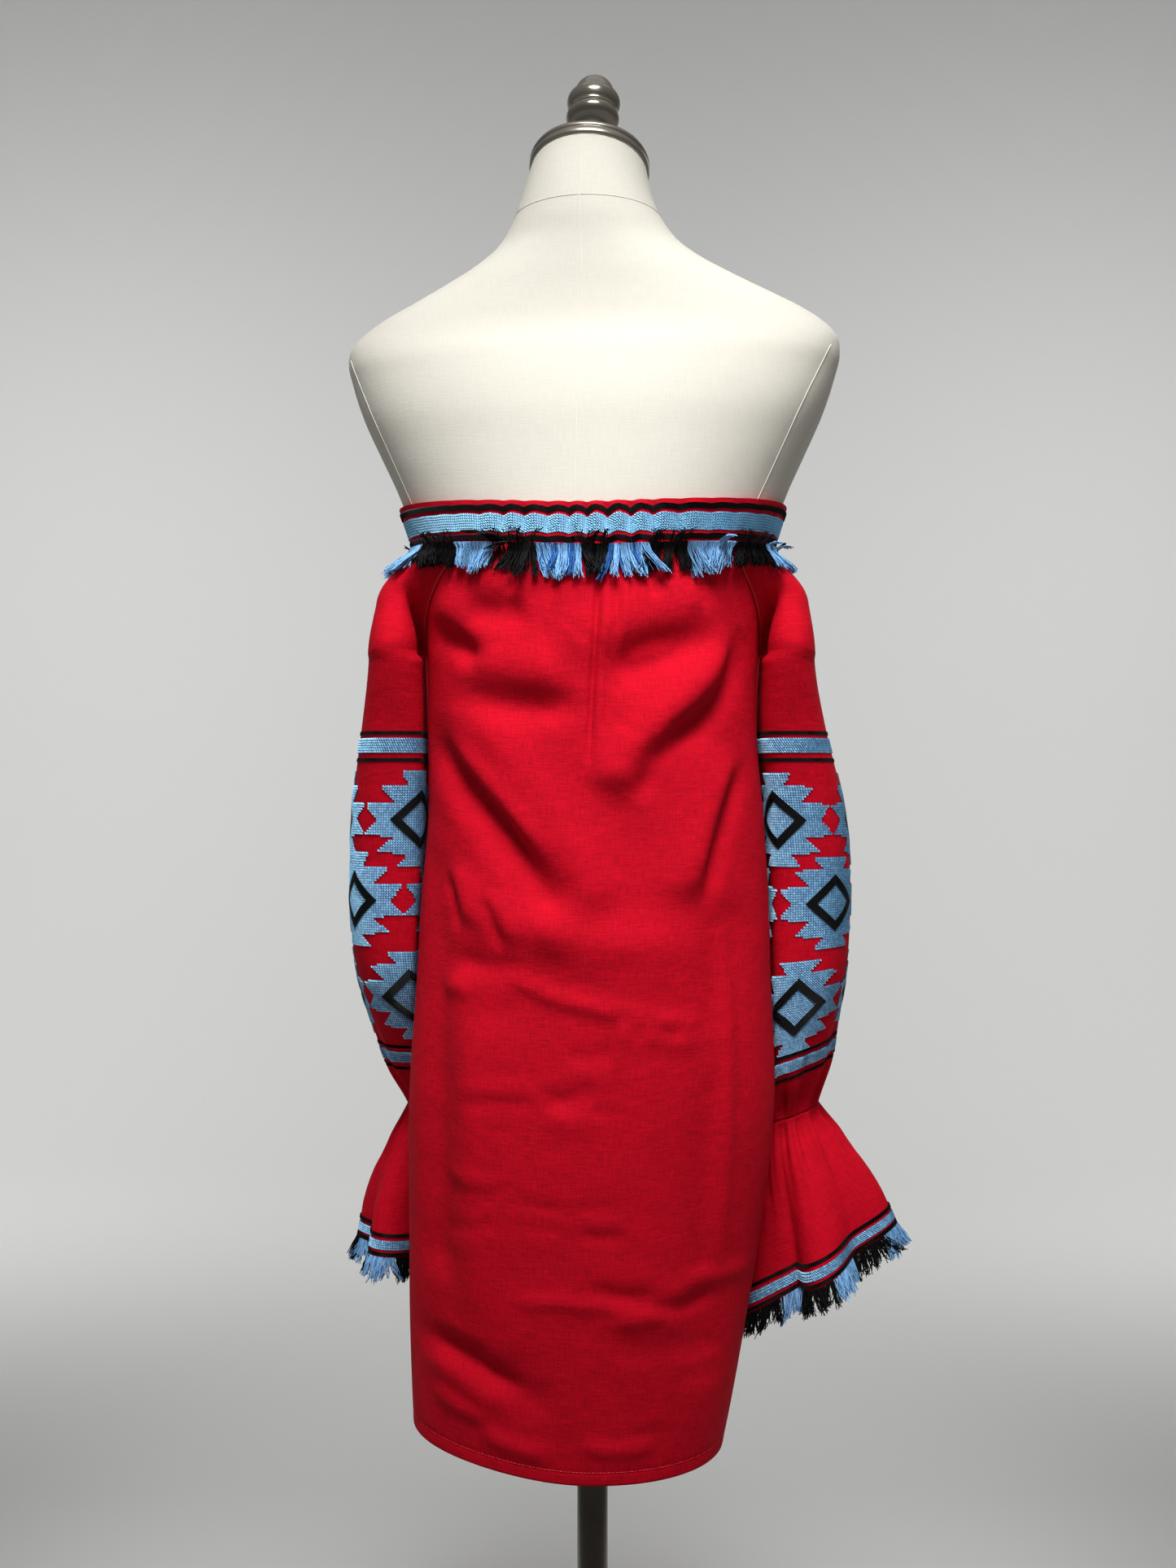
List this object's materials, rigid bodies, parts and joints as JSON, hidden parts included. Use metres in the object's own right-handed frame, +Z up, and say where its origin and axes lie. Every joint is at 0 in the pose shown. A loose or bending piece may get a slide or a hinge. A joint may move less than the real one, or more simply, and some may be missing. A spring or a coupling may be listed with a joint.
{
  "type": "embroidered dress on a dress form",
  "caption": "Red off-shoulder dress with embroidered raglan sleeves, flared cuffs and fringe, on a limbless canvas dress form and stand.",
  "frame": {"origin": "centre of the underside of the stand's foot, on the floor", "axes": "+Z up the pole; -Y faces out of the back of the dress, the side that the picture shows; +X towards the dress's own right sleeve"},
  "size_m": [0.4712, 0.3359, 1.6656],
  "materials": {
    "linen": "plain woven linen",
    "band_blue": "cross-stitched band",
    "fringe_yarn": "cut yarn",
    "form_canvas": "plain canvas",
    "stand_metal": "dark bronze-tinted plating"
  },
  "bodies": {
    "root": {"stand_foot": "stand_metal", "stand_pole": "stand_metal", "pole_collar": "stand_metal", "neck_cap": "stand_metal", "neck_finial": "stand_metal", "form_torso": "form_canvas", "back_panel": "linen", "front_panel": "linen", "sleeve_left": "linen", "sleeve_right": "linen", "cuff_left": "linen", "cuff_right": "linen", "neck_band": "band_blue", "neck_fringe": "fringe_yarn", "cuff_fringe_left": "fringe_yarn", "cuff_fringe_right": "fringe_yarn"}
  },
  "joints": []
}
